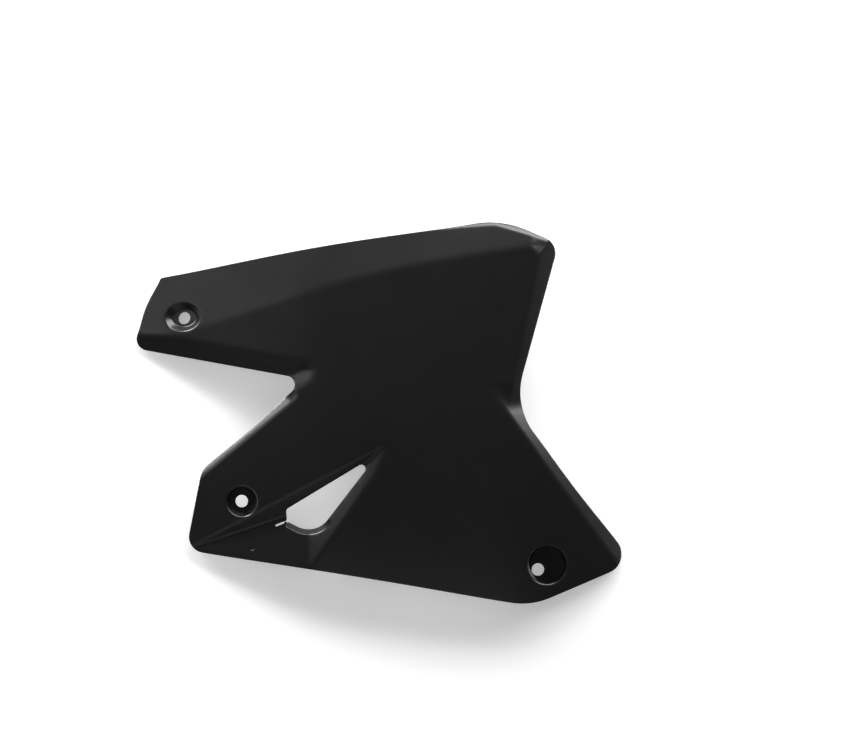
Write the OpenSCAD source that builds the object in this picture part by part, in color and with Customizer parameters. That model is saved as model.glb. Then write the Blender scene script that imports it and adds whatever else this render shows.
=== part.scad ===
// Right-hand tank shroud of an off-road motorbike, one injection-moulded panel.
// It lies face up: +X is the front of the bike, +Y its upper side, +Z points out of the panel's face.
// Outline and crease places are measured from a datum near the middle of the panel.

/* [Panel] */
// Overall length: every place along X is given for 439.8 and moves with it
panel_l = 439.8; // [432:0.1:448]
// Overall height: every place along Y is given for 343.8 and moves with it
panel_w = 343.8; // [338:0.1:350]
// Thickness of the moulded wall
wall = 2.6; // [2:0.1:3.4]

/* [Outline, upper half] */
// Rear upper corner of the upper arm, X
arm_top_x = -197.3; // [-207:0.1:-187]
// Rear upper corner of the upper arm, Y
arm_top_y = 121.6; // [117:0.1:127]
// Radius of that corner
arm_top_r = 4; // [3:0.5:8]
// Rear lower corner of the upper arm, X
arm_end_x = -223.1; // [-233:0.1:-215]
// Rear lower corner of the upper arm, Y
arm_end_y = 57.9; // [52:0.1:63]
// Radius of that corner
arm_end_r = 10.6; // [6:0.1:13]
// Highest point of the top edge, X
crest_x = 111.3; // [100:0.1:118]
// Highest point of the top edge, Y
crest_y = 173.8; // [169:0.1:179]
// Radius of the top edge there
crest_r = 84; // [60:1:95]
// Front tip, X
tip_x = 163.4; // [158:0.1:169]
// Front tip, Y
tip_y = 151.6; // [148:0.1:155]
// Radius of the front tip
tip_r = 15; // [11:0.1:17]
// Waist of the front edge, X
waist_x = 122.6; // [117:0.1:128]
// Waist of the front edge, Y
waist_y = 5.1; // [0:0.1:10]
// Radius of the waist
waist_r = 61; // [45:1:80]

/* [Outline, lower half] */
// Lower front corner, X
chin_x = 231.7; // [222:0.1:241]
// Lower front corner, Y
chin_y = -136.5; // [-142:0.1:-131]
// Radius of that corner
chin_r = 18; // [12:0.5:22]
// Lowest corner of the bottom edge, X
keel_x = 138.6; // [128:0.1:146]
// Lowest corner of the bottom edge, Y
keel_y = -175.2; // [-182:0.1:-170]
// Radius of that corner
keel_r = 65; // [45:1:80]
// Bottom corner of the lower arm, X
foot_x = -174.2; // [-182:0.1:-167]
// Bottom corner of the lower arm, Y
foot_y = -125.3; // [-130:0.1:-120]
// Radius of that corner
foot_r = 14.6; // [9:0.1:18]
// Upper corner of the lower arm, X
heel_x = -159.3; // [-165:0.1:-154]
// Upper corner of the lower arm, Y
heel_y = -52.5; // [-57:0.1:-48]
// Radius of that corner
heel_r = 20; // [12:0.5:26]
// Sharp corner of the notch between the arms, X
root_x = -64.7; // [-74:0.1:-56]
// Sharp corner of the notch between the arms, Y
root_y = 29.5; // [25:0.1:34]
// Radius of the notch's root
root_r = 8; // [7:0.1:10]

/* [Bow of the edges] */
// How far the long top edge bulges outwards
top_bow = 2.8; // [0:0.1:4]
// How far the upper arm's end bulges outwards
end_bow = 2.2; // [0:0.1:3]
// How far the bottom edge is hollowed
bottom_bow = 1.5; // [0:0.1:3]
// How far the lower front edge is hollowed
front_bow = 1.1; // [0:0.1:3]
// How far the notch's lower edge is hollowed
notch_bow = 1.1; // [0:0.1:2]

/* [Crown of the face] */
// Where the face starts to fall away to the rear, X
rear_fall_x = 10; // [-10:1:20]
// Radius of that fall
rear_fall_r = 450; // [380:5:600]
// Slope that the fall ends in, rise over run
rear_slope = 0.2; // [0.16:0.01:0.22]
// Where the face starts to fall away to the front, X
front_fall_x = 100; // [90:1:120]
// Radius of that fall
front_fall_r = 300; // [260:5:400]
// Where the face starts to fall away to the bottom, Y
low_fall_y = 20; // [0:1:40]
// Radius of that fall
low_fall_r = 810; // [700:10:1200]
// Where the face starts to fall away to the top, Y
high_fall_y = 60; // [40:1:90]
// Radius of that fall
high_fall_r = 3000; // [2000:50:5000]

/* [Upper band] */
// Rear end of the crease under the band, X
band_rear_x = -159.3; // [-165:0.1:-154]
// Rear end of the crease under the band, Y
band_rear_y = 78.7; // [75:0.1:82]
// Front end of the crease under the band, X
band_front_x = 137.6; // [133:0.1:142]
// Front end of the crease under the band, Y
band_front_y = 149.3; // [147:0.1:151]
// How far the crease bows upwards between its ends
band_bow = 8.6; // [6:0.1:10]
// Angle of the band at its rear end
band_rear_angle = 10; // [7:0.5:12]
// Angle of the band at its front end
band_front_angle = 14; // [10:0.5:18]
// Half width of the rounding on the crease
band_soft = 4; // [3:0.5:5]

/* [Strip along the top edge] */
// Rear end of the crease under the strip, X
strip_rear_x = 35.3; // [30:0.1:41]
// Rear end of the crease under the strip, Y
strip_rear_y = 162.9; // [161:0.1:164]
// Bend of the crease under the strip, X
strip_bend_x = 105.4; // [100:0.1:111]
// Bend of the crease under the strip, Y
strip_bend_y = 168.3; // [167:0.1:169]
// Front end of the crease under the strip, X
strip_front_x = 150.8; // [148:0.1:154]
// Front end of the crease under the strip, Y
strip_front_y = 155.3; // [154:0.1:156.5]
// Angle that the strip turns down by
strip_angle = 26; // [16:0.5:30]

/* [Front tip] */
// Rear corner of the small facet behind the tip, X
facet_x = 136.2; // [133:0.1:139]
// Rear corner of the facet and its upper edge, Y
facet_y = 149.8; // [148.5:0.1:151]
// Angle of the facet
facet_angle = 22; // [18:0.5:26]

/* [Bands along the front edge] */
// Upper end of the upper crease, X
brow_top_x = 144.8; // [142:0.1:147]
// Upper end of the upper crease, Y
brow_top_y = 140.3; // [138:0.1:142]
// Lower end of the upper crease, X
brow_low_x = 120.8; // [119:0.1:122]
// Lower end of the upper crease, Y
brow_low_y = 25.7; // [22:0.1:29]
// Angle of the upper band
brow_angle = 34; // [26:0.5:38]
// Upper end of the lower crease, X
jaw_top_x = 123.4; // [121:0.1:126]
// Upper end of the lower crease, Y
jaw_top_y = -8.6; // [-11:0.1:-6]
// Lower end of the lower crease, X
jaw_low_x = 196.9; // [194:0.1:200]
// Lower end of the lower crease, Y
jaw_low_y = -109.1; // [-112:0.1:-106]
// Angle of the lower band
jaw_angle = 30; // [22:0.5:34]
// Half width of the rounding on both creases
front_soft = 2.5; // [2:0.1:3.5]

/* [Notch rim] */
// Width of the bright band along the notch's lower edge
notch_low_w = 5.5; // [4.5:0.1:7]
// Angle of that band
notch_low_angle = 42; // [30:0.5:46]
// Width of the roll along the notch's upper edge
notch_high_w = 15; // [12:0.1:18]
// Angle of that roll
notch_high_angle = 24; // [18:0.5:30]
// Width of the flatter lip below that roll, at the notch's root
notch_lip_w = 9; // [6:0.1:11]
// Angle that the lip turns back by
notch_lip_angle = 17; // [8:0.5:20]
// Length over which the band and the roll fade out at the root
notch_fade = 22; // [16:0.5:28]
// Half width of the rounding on both
notch_soft = 2.5; // [2:0.1:3.5]

/* [Recess round the vent] */
// Front end of the recess's upper crease, X
recess_x = 4.5; // [0:0.1:9]
// Front end of the recess's upper crease, Y
recess_y = -29.9; // [-34:0.1:-26]
// Upper end of the recess's front crease, X
recess_front_x = 0.7; // [-3:0.1:4]
// Upper end of the recess's front crease, Y
recess_front_y = -52; // [-55:0.1:-49]
// Direction of the recess's upper crease, towards the rear
recess_high_dir = 207.9; // [204:0.1:211]
// Direction of the recess's front crease, towards the bottom
recess_front_dir = 235.6; // [233:0.1:238]
// Angle of the wall below the upper crease
recess_high_angle = 27; // [22:0.5:30]
// Angle of the wall behind the front crease
recess_front_angle = 17; // [13:0.5:21]
// Angle of the floor, which runs out at the bottom edge
recess_floor_angle = 10; // [7:0.5:12]
// Half width of the rounding on the recess's creases
recess_soft = 4; // [3:0.5:5]

/* [Vent] */
// Front tip of the vent before rounding, X
vent_tip_x = 0.9; // [-3:0.1:3]
// Front tip of the vent before rounding, Y
vent_tip_y = -37.2; // [-40:0.1:-36]
// Radius of the tip
vent_tip_r = 3.8; // [3:0.1:4.4]
// Upper rear corner of the vent, X
vent_rear_x = -82.5; // [-86:0.1:-79]
// Upper rear corner of the vent, Y
vent_rear_y = -87.7; // [-90:0.1:-85.5]
// Radius of that corner
vent_rear_r = 3.5; // [2.5:0.1:5]
// Lower rear corner of the vent, X
vent_low_x = -82.5; // [-86:0.1:-79]
// Lower rear corner of the vent, Y
vent_low_y = -98.8; // [-101:0.1:-97]
// Radius of that corner
vent_low_r = 1.5; // [1:0.1:3]
// Bottom corner of the vent, X
vent_base_x = -56.4; // [-60:0.1:-53]
// Bottom corner of the vent, Y
vent_base_y = -111.6; // [-114:0.1:-110]
// Radius of that corner
vent_base_r = 22; // [16:0.1:24]
// Length of the slit behind the vent
slit_l = 11; // [8:0.5:14]
// Width of the slit
slit_w = 1.8; // [1.4:0.1:2.6]
// Direction of the slit, towards the rear
slit_dir = 201; // [192:1:210]
// Depth of the flange that turns down round the vent's bottom corner
flange_h = 7; // [5:0.1:9]
// Reach of the flange along the vent's lower edge, beyond that corner
flange_l = 18; // [14:0.1:22]

/* [Mounting cups] */
// Diameter of the three bolt holes
hole_d = 11.3; // [8:0.1:13]
// Upper cup, X
cup_high_x = -175.4; // [-178:0.1:-172]
// Upper cup, Y
cup_high_y = 85.1; // [83:0.1:88]
// Radius of the ends of the upper cup's long seat
cup_high_seat_r = 8; // [7.5:0.1:9]
// Radius of the ends of the upper cup's long mouth
cup_high_mouth_r = 14; // [13:0.1:15]
// How far those ends lie from the hole, along the arm
cup_high_shift = 3; // [2:0.1:4]
// Depth of the upper cup's seat below the face
cup_high_depth = 5; // [4:0.1:6]
// Angle that the upper cup leans by, so that its seat follows the face
cup_high_tilt = 16; // [10:0.5:18]
// Direction that it leans in
cup_high_lean = 143; // [130:1:160]
// Rear lower cup, X
cup_low_x = -123.2; // [-126:0.1:-120]
// Rear lower cup, Y
cup_low_y = -80.6; // [-83:0.1:-78]
// Radius of the rear lower cup's flat seat
cup_low_seat_r = 11.5; // [10:0.1:12]
// Radius of the rear lower cup at its mouth
cup_low_mouth_r = 14.2; // [13:0.1:16]
// Depth of the rear lower cup's seat below the face
cup_low_depth = 9; // [6:0.1:11]
// Front cup, X
cup_front_x = 153; // [150:0.1:156]
// Front cup, Y
cup_front_y = -138; // [-140:0.1:-136]
// Radius of the front cup's flat seat
cup_front_seat_r = 15.5; // [14.5:0.1:16.5]
// Radius of the front cup at its mouth
cup_front_mouth_r = 17.4; // [16.8:0.1:18.5]
// Depth of the front cup's seat below the face
cup_front_depth = 19; // [12:0.1:20]
// Distance of the front hole from its cup's centre, X
hole_front_dx = -8; // [-8.5:0.1:0]
// Distance of the front hole from its cup's centre, Y
hole_front_dy = -4.8; // [-5.5:0.1:0]
// Diameter of the small gate mark near the bottom edge
gate_d = 3.6; // [2:0.1:5]
// Gate mark, X
gate_x = -113.6; // [-118:0.1:-109]
// Gate mark, Y
gate_y = -123.4; // [-125:0.1:-121]
// Depth of the gate mark
gate_h = 0.4; // [0.2:0.1:0.8]

/* [Hidden] */
arc_steps = 8;
bow_steps = 12;
edge_r = wall / 2;
rim_angles = [45, 90, 135];
cut_fn = 64;

// Columns run across the panel, from the bottom edge to the top edge. These places part them into groups:
// arm ends, notch root, foot and top of the recess's front wall, start and end of the keel,
// front crease and front edge.
cols_arm = 11;
cols_mid = 5;
cols_wall = 2;
cols_body = 3;
cols_keel = 5;
cols_neck = 5;
cols_band = 4;
col_root = cols_arm;
col_wall = col_root + cols_mid;
col_recess = col_wall + cols_wall;
col_keel = col_recess + cols_body;
col_neck = col_keel + cols_keel;
col_crease = col_neck + cols_neck;
col_last = col_crease + cols_band;
rows_low = 14;
rows_high = 12;

// Plane geometry helpers
function unit(v) = v / norm(v);
function left_of(v) = [-v[1], v[0]];
function mix(a, b, t) = a + (b - a) * t;
function clamp(v, lo, hi) = min(max(v, lo), hi);
function step_up(t) = let(s = clamp(t, 0, 1)) s * s * (3 - 2 * s);
function heading(a) = [cos(a), sin(a)];
function crossing(p, d, a, b) = let(n = left_of(b - a)) ((a - p) * n) / (d * n);

// A place in plan, moved with the overall length and height
given_l = 439.8;
given_w = 343.8;
function place_x(x) = x * panel_l / given_l;
function place_y(y) = y * panel_w / given_w;
function place(x, y) = [place_x(x), place_y(y)];

// Named corners of the outline
arm_top = place(arm_top_x, arm_top_y);
arm_end = place(arm_end_x, arm_end_y);
crest = place(crest_x, crest_y);
tip = place(tip_x, tip_y);
waist = place(waist_x, waist_y);
chin = place(chin_x, chin_y);
keel = place(keel_x, keel_y);
foot = place(foot_x, foot_y);
heel = place(heel_x, heel_y);
root = place(root_x, root_y);

// A corner of the outline: its place, its neighbours, and its radius.
// The outline runs anticlockwise. A corner that turns right is hollow: its radius grows when it is inset.
function turns_left(p, c, n) = left_of(c - p) * (n - c) > 0;
function inset_corner(p, c, n, d) =
    let(
        u = unit(p - c),
        v = unit(n - c),
        h = acos(u * v) / 2,
        side = turns_left(p, c, n) ? 1 : -1
    )
    c + unit(u + v) * side * d / sin(h);
function inset_radius(p, c, n, r, d) = turns_left(p, c, n) ? r - d : r + d;
function corner_arc(p, c, n, r, t0, t1) =
    let(
        u = unit(p - c),
        v = unit(n - c),
        h = acos(u * v) / 2,
        m = c + unit(u + v) * r / sin(h),
        s = c + u * r / tan(h) - m,
        turn = (180 - 2 * h) * (turns_left(p, c, n) ? 1 : -1)
    )
    [for (k = [0:arc_steps]) let(a = turn * mix(t0, t1, k / arc_steps))
        m + [s[0] * cos(a) - s[1] * sin(a), s[0] * sin(a) + s[1] * cos(a)]];

// A straight stretch between two arcs, bowed outwards by b, which runs out softly at both ends
function stretch(a, b, bow) =
    let(out = -left_of(unit(b - a)))
    [for (k = [1:bow_steps - 1]) let(t = k / bow_steps)
        mix(a, b, t) + out * bow * 16 * pow(t * (1 - t), 2)];

// Outline as a ring of corners with their radii, and the bow of the edge that follows each
ring_pts = [foot, keel, chin, waist, tip, crest, arm_top, arm_end, root, heel];
ring_rad = [foot_r, keel_r, chin_r, waist_r, tip_r, crest_r, arm_top_r, arm_end_r, root_r, heel_r];
ring_bow = [-bottom_bow, 0, -front_bow, 0, 0, top_bow, end_bow, 0, -notch_bow, 0];
ring_n = len(ring_pts);
function ring_at(i) = ring_pts[(i + ring_n) % ring_n];
function arc_at(i, d, t0, t1) =
    let(p = ring_at(i - 1), c = ring_at(i), n = ring_at(i + 1), k = (i + ring_n) % ring_n)
    corner_arc(
        inset_corner(ring_at(i - 2), p, c, d),
        inset_corner(p, c, n, d),
        inset_corner(c, n, ring_at(i + 2), d),
        inset_radius(p, c, n, ring_rad[k], d), t0, t1);

// One side of the panel, from the middle of corner i to the middle of corner j, inset by d.
// A side may pass one corner on its way.
function edge_line(i, j, d) =
    let(
        arcs = [for (k = [i:j]) arc_at(k, d, k == i ? 0.5 : 0, k == j ? 0.5 : 1)],
        last = len(arcs) - 1
    )
    [for (k = [0:last], q = concat(arcs[k], k < last
        ? stretch(arcs[k][arc_steps], arcs[k + 1][0], ring_bow[(i + k + ring_n) % ring_n]) : [])) q];

// Length of a line of points, and the point at a share of its length
function lengths(l) = [for (k = 0, s = 0; k < len(l);
    s = s + (k + 1 < len(l) ? norm(l[k + 1] - l[k]) : 0), k = k + 1) s];
function seek(v, s, k) = k >= len(v) - 2 || v[k + 1] >= s ? k : seek(v, s, k + 1);
function point_at(l, v, f) =
    let(s = f * v[len(v) - 1], k = seek(v, s, 0), w = v[k + 1] - v[k])
    mix(l[k], l[k + 1], w > 0 ? (s - v[k]) / w : 0);
function backwards(l) = [for (k = [len(l) - 1:-1:0]) l[k]];
// Share of a line's length at which it crosses the straight line through a and b
function share_at(l, v, a, b) =
    let(n = left_of(b - a),
        hits = [for (k = [0:len(l) - 2]) let(p = (l[k] - a) * n, q = (l[k + 1] - a) * n)
            if (p * q <= 0 && p != q) (v[k] + (v[k + 1] - v[k]) * p / (p - q)) / v[len(v) - 1]])
    hits[0];

// The eight sides, each as its line and its running lengths, inset by d
function with_lengths(l) = [l, lengths(l)];
function at(s, f) = point_at(s[0], s[1], f);
function share(s, a, b) = share_at(s[0], s[1], a, b);
function sides(d) = [
    with_lengths(edge_line(0, 2, d)),
    with_lengths(edge_line(2, 3, d)),
    with_lengths(edge_line(3, 4, d)),
    with_lengths(backwards(edge_line(4, 6, d))),
    with_lengths(backwards(edge_line(6, 7, d))),
    with_lengths(edge_line(7, 8, d)),
    with_lengths(backwards(edge_line(8, 9, d))),
    with_lengths(backwards(edge_line(9, 10, d)))
];
S_BOTTOM = 0;
S_JAW = 1;
S_BROW = 2;
S_TOP = 3;
S_ARM_END = 4;
S_NOTCH_HIGH = 5;
S_NOTCH_LOW = 6;
S_HEEL = 7;
inner = sides(edge_r);
seam_a = at(inner[S_NOTCH_LOW], 1);
seam_b = at(inner[S_JAW], 1);

// Creases of the face
band_a = place(band_rear_x, band_rear_y);
band_b = place(band_front_x, band_front_y);
strip_a = place(strip_rear_x, strip_rear_y);
strip_b = place(strip_bend_x, strip_bend_y);
strip_c = place(strip_front_x, strip_front_y);
brow_a = place(brow_top_x, brow_top_y);
brow_b = place(brow_low_x, brow_low_y);
jaw_a = place(jaw_top_x, jaw_top_y);
jaw_b = place(jaw_low_x, jaw_low_y);
facet_a = place(facet_x, facet_y);
recess_p = place(recess_x, recess_y);
recess_q = place(recess_front_x, recess_front_y);
recess_high = heading(recess_high_dir);
recess_front = heading(recess_front_dir);

// Heights
function fall(d, r, s) = d <= 0 ? 0 : d < r * s ? d * d / (2 * r) : s * (d - r * s / 2);
function soft(d, r) = d <= -r ? 0 : d >= r ? d : (d + r) * (d + r) / (4 * r);
// Rounded smaller and larger value of two
function soft_min(a, b, r) = a - soft(a - b, r);
function soft_max(a, b, r) = a + soft(b - a, r);
function beside(p, a, b) = (p - a) * left_of(unit(b - a));

// The crown is the highest part of the face, at height 0
function crown(p) =
    -fall(place_x(rear_fall_x) - p[0], rear_fall_r, rear_slope)
    - fall(p[0] - place_x(front_fall_x), front_fall_r, 1)
    - fall(place_y(low_fall_y) - p[1], low_fall_r, 1)
    - fall(p[1] - place_y(high_fall_y), high_fall_r, 1);

// The band above the long crease, which turns down towards the top edge
function share_along(p, a, b) = ((p - a) * (b - a)) / ((b - a) * (b - a));
function band_share(p) = share_along(p, band_a, band_b);
// The crease starts straight and bows over its front half
function band_lift(p) =
    let(t = band_share(p), b = max(0, 4 * t * (1 - t)))
    band_bow * (t < 0.5 ? b * b : b);
function band_drop(p) =
    tan(mix(band_rear_angle, band_front_angle, clamp(band_share(p), 0, 1)))
    * soft(beside(p, band_a, band_b) - band_lift(p), band_soft);

// The strip along the top edge, from the crest to the front tip
strip_soft = 1.5;
function strip_drop(p) =
    tan(strip_angle)
    * soft(soft_max(beside(p, strip_a, strip_b), beside(p, strip_b, strip_c), strip_soft), strip_soft);

// The small facet behind the tip, which stays below the upper band
function facet_drop(p) =
    tan(facet_angle)
    * soft(beside([p[0], soft_min(p[1], facet_a[1], strip_soft)], facet_a, brow_a), strip_soft);

// The bands along the front edge meet at the waist
waist_blend = 16;
function upper_part(p) = step_up((p[1] - waist[1]) / (2 * waist_blend) + 0.25);
function front_drop(p) =
    mix(tan(jaw_angle) * soft(beside(p, jaw_a, jaw_b), front_soft),
        soft_max(tan(brow_angle) * soft(-beside(p, brow_b, brow_a), front_soft), facet_drop(p), 0.4),
        upper_part(p));

// Both edges of the notch turn down. Their bands run straight on and fade out at the rounded root.
notch_u = unit(arm_end - root);
notch_v = unit(heel - root);
notch_half = acos(notch_u * notch_v) / 2;
notch_reach = root_r / tan(notch_half);
function notch_low_d(p) = max(0, beside(p, root, heel));
function notch_high_d(p) = max(0, -beside(p, root, arm_end));
function fades(p, v, from) = step_up(((p - root) * v - from) / notch_fade);
function notch_drop(p) =
    let(
        mid = unit(notch_u + notch_v),
        below = (p - root) * left_of(mid),
        upper = step_up(0.5 - below / notch_reach),
        high_d = notch_high_d(p),
        lip = notch_lip_w * clamp(1 - 2 * ((p - root) * notch_u) / norm(arm_end - root), 0, 1)
    )
    mix(tan(notch_low_angle) * soft(notch_low_w - notch_low_d(p), notch_soft)
            * fades(p, notch_v, notch_fade / 2),
        (tan(notch_high_angle) * soft(notch_high_w - high_d, notch_high_w / 3)
            - tan(notch_lip_angle) * soft(lip - high_d, 1))
            * fades(p, notch_u, -notch_fade / 2),
        upper);

// The recess is a pit with three sloping sides: two walls that meet at its front, and a floor
function recess_drop(p) =
    let(
        high = ((p - recess_p) * left_of(recess_high)) * tan(recess_high_angle),
        front = ((p - recess_q) * left_of(-recess_front)) * tan(recess_front_angle),
        floor_up = beside(p, foot, keel) * tan(recess_floor_angle),
        walls = soft_min(high, front, 1)
    )
    soft(soft_min(walls, floor_up, 1), recess_soft * tan(recess_high_angle));

function face_z(p) =
    crown(p) - band_drop(p) - strip_drop(p) - front_drop(p) - notch_drop(p) - recess_drop(p);
slope_step = 0.5;
function steepness(p) =
    let(
        gx = (face_z(p + [slope_step, 0]) - face_z(p - [slope_step, 0])) / (2 * slope_step),
        gy = (face_z(p + [0, slope_step]) - face_z(p - [0, slope_step])) / (2 * slope_step)
    )
    sqrt(1 + gx * gx + gy * gy);

// Columns: the ends of each, as shares of the sides
function spread(a, b, n, lean = 1) = [for (k = [1:n]) mix(a, b, pow(k / n, lean))];
function spread_back(a, b, n, lean) = [for (k = [1:n]) mix(b, a, pow(1 - k / n, lean))];
corner_lean = 1.6;
root_lean = 1.7;
wall_low = share(inner[S_BOTTOM], recess_q, recess_q + recess_front);
wall_gap = 11;
wall_p = recess_q - [wall_gap, 0];
wall_foot = share(inner[S_BOTTOM], wall_p, wall_p + recess_front);
root_low = wall_foot * 0.45;
jaw_low_share = share(inner[S_BOTTOM], jaw_a, jaw_b);
keel_line = arc_at(1, edge_r, 0, 1);
keel_start = share(inner[S_BOTTOM], keel_line[0], keel_line[0] + left_of(keel - foot));
keel_end = share(inner[S_BOTTOM], keel_line[arc_steps], keel_line[arc_steps] + left_of(chin - keel));
low_shares = concat([0], spread(0, root_low, cols_arm, corner_lean), spread(root_low, wall_foot, cols_mid),
    spread(wall_foot, wall_low, cols_wall), spread(wall_low, keel_start, cols_body),
    spread(keel_start, keel_end, cols_keel), spread_back(keel_end, jaw_low_share, cols_neck, corner_lean),
    spread(jaw_low_share, 1, cols_band));
function seam_share(a, b) = crossing(seam_a, seam_b - seam_a, a, b);
seam_wall = seam_share(recess_q, recess_q + recess_front);
seam_foot = seam_share(wall_p, wall_p + recess_front);
seam_crease = seam_share(brow_b, jaw_a);
seam_keel = mix(seam_wall, seam_crease, 0.4);
seam_neck = mix(seam_wall, seam_crease, 0.75);
seam_shares = concat([0], spread(0, seam_foot, cols_mid, root_lean), spread(seam_foot, seam_wall, cols_wall),
    spread(seam_wall, seam_keel, cols_body), spread(seam_keel, seam_neck, cols_keel),
    spread(seam_neck, seam_crease, cols_neck), spread(seam_crease, 1, cols_band));
notch_shares = [for (k = [0:cols_arm]) step_up(k / cols_arm)];
crest_line = arc_at(5, edge_r, 0, 1);
crest_start = share(inner[S_TOP], crest_line[arc_steps], crest_line[arc_steps] + left_of(arm_top - crest));
crest_end = share(inner[S_TOP], crest_line[0], crest_line[0] + left_of(tip - crest));
top_root = 0.37;
top_wall = 0.6;
brow_top_share = share(inner[S_TOP], brow_b, brow_a);
top_shares = concat([0], spread(0, top_root, cols_arm, corner_lean),
    spread(top_root, top_wall, cols_mid + cols_wall),
    spread(top_wall, crest_start, cols_body), spread(crest_start, crest_end, cols_keel),
    spread(crest_end, brow_top_share, cols_neck), spread(brow_top_share, 1, cols_band));

function seam_point(i) = mix(seam_a, seam_b, seam_shares[i - col_root]);
function low_top(i) = i < col_root ? at(inner[S_NOTCH_LOW], notch_shares[i]) : seam_point(i);
function high_low(i) = i < col_root ? at(inner[S_NOTCH_HIGH], notch_shares[i]) : seam_point(i);

// Rows: shares along each column, which follow the creases
function crease_share(b, t, p, d, lo, hi) = clamp(crossing(b, t - b, p, p + d), lo, hi);
function low_rows(i) =
    let(
        b = at(inner[S_BOTTOM], low_shares[i]),
        t = low_top(i),
        l = norm(t - b),
        w = i > col_recess ? 0.62 : crease_share(b, t, recess_p, recess_high, 0.36, 0.8),
        s = recess_soft / l,
        k = 1 - (notch_low_w + notch_soft) / l,
        m = 1 - (notch_low_w - notch_soft) / l
    )
    concat([0], spread(0, w - s, 5, corner_lean), [w, w + s], spread_back(w + s, k, 4, corner_lean),
        [m, mix(m, 1, 0.5), 1]);
function high_rows(i) =
    let(
        b = high_low(i),
        t = at(inner[S_TOP], top_shares[i]),
        l = norm(t - b),
        lift = band_lift(mix(b, t, 0.6)) * left_of(unit(band_b - band_a)),
        n = notch_high_w * 0.45 / l,
        u = crease_share(b, t, band_a + lift, band_b - band_a, 0.3, 0.93),
        s = min(band_soft / l, 0.1)
    )
    concat([0, n * 0.4], spread(n * 0.4, min(n * 3, u - 2 * s), 3), spread(min(n * 3, u - 2 * s), u - s, 3),
        [u, u + s * 0.6], spread(u + s * 0.6, 1, 3));

// Sides curve the end columns: the pull fades over the first columns and over the front band
function pull_rear(i) = pow(max(0, 1 - i / 4), 2);
function pull_front(i) = max(0, (i - col_crease) / cols_band);
function grid_point(b, t, f, rear, rear_b, rear_t, front, front_b, front_t, i) =
    mix(b, t, f)
    + (rear - mix(rear_b, rear_t, f)) * pull_rear(i)
    + (front - mix(front_b, front_t, f)) * pull_front(i);
function low_point(i, f) = grid_point(
    at(inner[S_BOTTOM], low_shares[i]), low_top(i), f,
    at(inner[S_HEEL], f), at(inner[S_HEEL], 0), at(inner[S_HEEL], 1),
    at(inner[S_JAW], f), at(inner[S_JAW], 0), at(inner[S_JAW], 1), i);
function high_point(i, f) = grid_point(
    high_low(i), at(inner[S_TOP], top_shares[i]), f,
    at(inner[S_ARM_END], f), at(inner[S_ARM_END], 0), at(inner[S_ARM_END], 1),
    at(inner[S_BROW], f), at(inner[S_BROW], 0), at(inner[S_BROW], 1), i);

low_grid = [for (i = [0:col_last]) let(f = low_rows(i)) [for (j = [0:rows_low]) low_point(i, f[j])]];
high_grid = [for (i = [0:col_last]) let(f = high_rows(i)) [for (j = [0:rows_high]) high_point(i, f[j])]];
plan = concat([for (c = low_grid, p = c) p], [for (c = high_grid, p = c) p]);
per_low = rows_low + 1;
per_high = rows_high + 1;
high_start = (col_last + 1) * per_low;
function low_id(i, j) = i * per_low + j;
function high_id(i, j) = j == 0 && i >= col_root ? low_id(i, rows_low) : high_start + i * per_high + j;
plan_n = len(plan);

// Grid cells as triangles, anticlockwise seen from the face
function cell(a, b, c, d) = [[a, b, c], [a, c, d]];
cells = concat(
    [for (i = [0:col_last - 1], j = [0:rows_low - 1],
        t = cell(low_id(i, j), low_id(i + 1, j), low_id(i + 1, j + 1), low_id(i, j + 1))) t],
    [for (i = [0:col_last - 1], j = [0:rows_high - 1],
        t = cell(high_id(i, j), high_id(i + 1, j), high_id(i + 1, j + 1), high_id(i, j + 1))) t]);

// The rim: grid points round the edge, and the same places on the outline inset by d
rim_ids = concat(
    [for (i = [0:col_last]) low_id(i, 0)],
    [for (j = [1:rows_low]) low_id(col_last, j)],
    [for (j = [1:rows_high]) high_id(col_last, j)],
    [for (i = [col_last - 1:-1:0]) high_id(i, rows_high)],
    [for (j = [rows_high - 1:-1:0]) high_id(0, j)],
    [for (i = [1:col_root]) high_id(i, 0)],
    [for (i = [col_root - 1:-1:0]) low_id(i, rows_low)],
    [for (j = [rows_low - 1:-1:1]) low_id(0, j)]);
rim_n = len(rim_ids);
function rim_line(d) =
    let(s = sides(d), lf = low_rows(col_last), hf = high_rows(col_last), la = low_rows(0), ha = high_rows(0))
    concat(
        [for (i = [0:col_last]) at(s[S_BOTTOM], low_shares[i])],
        [for (j = [1:rows_low]) at(s[S_JAW], lf[j])],
        [for (j = [1:rows_high]) at(s[S_BROW], hf[j])],
        [for (i = [col_last - 1:-1:0]) at(s[S_TOP], top_shares[i])],
        [for (j = [rows_high - 1:-1:0]) at(s[S_ARM_END], ha[j])],
        [for (i = [1:col_root]) at(s[S_NOTCH_HIGH], notch_shares[i])],
        [for (i = [col_root - 1:-1:0]) at(s[S_NOTCH_LOW], notch_shares[i])],
        [for (j = [rows_low - 1:-1:1]) at(s[S_HEEL], la[j])]);

// Middle of the outline in plan, and the lowest point of the rim, which the panel lies on
outline_pts = rim_line(0);
mid_x = (min([for (p = outline_pts) p[0]]) + max([for (p = outline_pts) p[0]])) / 2;
mid_y = (min([for (p = outline_pts) p[1]]) + max([for (p = outline_pts) p[1]])) / 2;
function seat_under(p, depth) = [p[0], p[1], face_z(p) - depth];
high_seat = seat_under(place(cup_high_x, cup_high_y), cup_high_depth);
low_seat = seat_under(place(cup_low_x, cup_low_y), cup_low_depth);
front_seat = seat_under(place(cup_front_x, cup_front_y), cup_front_depth);
gate = place(gate_x, gate_y);
function inner_z(p) = face_z(p) - wall * steepness(p);
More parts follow.
